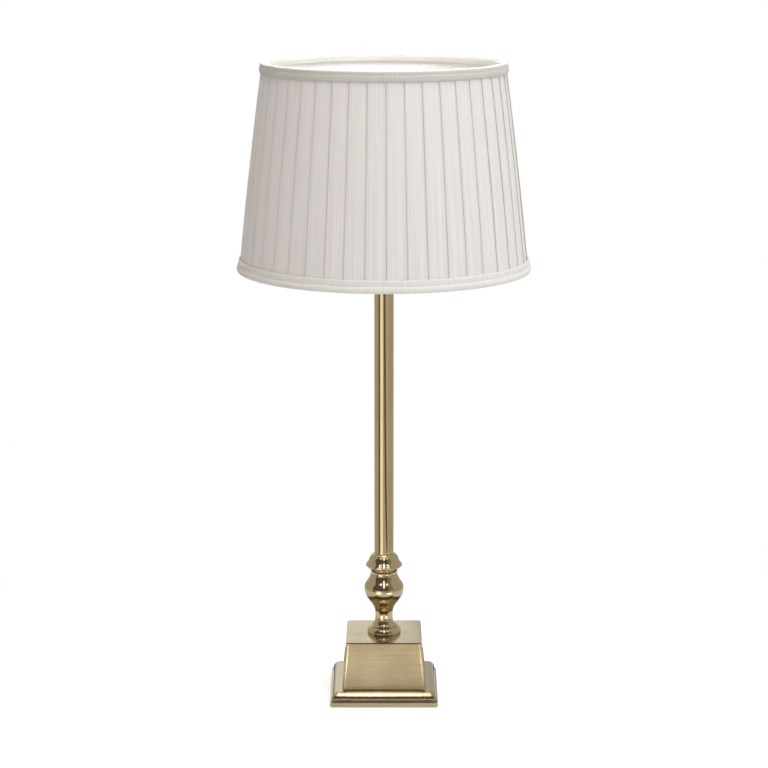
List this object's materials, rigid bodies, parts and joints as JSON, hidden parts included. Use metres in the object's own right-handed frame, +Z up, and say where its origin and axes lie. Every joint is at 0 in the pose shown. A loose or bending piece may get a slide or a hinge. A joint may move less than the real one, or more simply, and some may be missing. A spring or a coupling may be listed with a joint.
{
  "type": "candlestick table lamp",
  "caption": "Table lamp on a square moulded brass base with a turned vase, a plain round stem and a drum shade of knife-pleated linen.",
  "frame": {"origin": "middle of the felt pad's underside, where the lamp stands on a table", "axes": "+Z up along the stem; -Y is the front; +Y is the back, where the lead leaves; X runs along the push bar"},
  "size_m": [0.3024, 0.3024, 0.667],
  "materials": {
    "cast_brass": "polished cast brass, soft at the edges",
    "block_brass": "polished sheet brass with a faint brushed grain",
    "turned_brass": "polished, fine turning marks round the axis",
    "tube_brass": "polished, faint marks along the tube",
    "holder_brass": "plain brass, lightly polished",
    "contact_brass": "stamped, unpolished",
    "zinc_steel": "zinc plated",
    "iron": "as cast, blackened",
    "felt": "pressed wool felt",
    "pleated_linen": "off-white linen weave in knife pleats",
    "linen_binding": "the same linen, cut straight and folded",
    "lining_cloth": "fine white lining",
    "white_wire": "white powder coat",
    "ceramic": "glazed steatite",
    "black_plastic": "fine moulded grain",
    "dark_bakelite": "moulded phenolic",
    "opal_glass": "opal white",
    "clear_glass": "clear",
    "nickel_cap": "rolled screw cap",
    "black_vitrite": "black glass insulator",
    "solder": "solder",
    "phosphor": "yellow phosphor coat"
  },
  "bodies": {
    "root": {"felt_pad": "felt", "base_cover": "zinc_steel", "cover_screws": "zinc_steel", "base_weight": "iron", "plinth": "cast_brass", "base_block": "block_brass", "cable_bush": "black_plastic", "rod_washer": "zinc_steel", "rod_nut": "zinc_steel", "threaded_rod": "zinc_steel", "foot_knop": "turned_brass", "vase": "turned_brass", "collar": "turned_brass", "stem_tube": "tube_brass", "stem_lower_bush": "zinc_steel", "stem_upper_bush": "zinc_steel", "stem_cap": "turned_brass", "stem_nut": "holder_brass", "holder_cap": "holder_brass", "holder_grub_screw": "zinc_steel", "holder_skirt": "holder_brass", "holder_insulator": "ceramic", "terminal_screws": "contact_brass", "centre_contact": "contact_brass", "side_contact": "contact_brass", "screw_shell": "contact_brass", "rocker_pin": "zinc_steel", "shade_carrier": "white_wire", "shade_ring_nut": "dark_bakelite", "spider_arms": "white_wire", "shade_bottom_ring": "white_wire", "shade_top_ring": "white_wire", "shade_struts": "white_wire", "shade_lining": "lining_cloth", "shade_cover": "pleated_linen", "top_trim": "linen_binding", "bottom_trim": "linen_binding", "bulb_glass": "opal_glass", "bulb_cap": "nickel_cap", "bulb_insulator": "black_vitrite", "bulb_contact": "solder", "filament_stem": "clear_glass", "led_filaments": "phosphor"},
    "switch": {"switch_bar": "black_plastic", "switch_buttons": "dark_bakelite"},
    "rocker": {"switch_rocker": "black_plastic"}
  },
  "joints": [
    {"name": "switch_push", "type": "slide", "parent": "root", "child": "switch", "axis": [1, 0, 0], "range_m": [0, 0.006]},
    {"name": "rocker_tilt", "type": "hinge", "parent": "root", "child": "rocker", "pos_m": [0, 0, 0.503], "axis": [0, -1, 0], "range_deg": [0, 43]}
  ],
  "couplings": [
    {"joint": "rocker_tilt", "follows": "switch_push", "rad_per_m": 125}
  ]
}
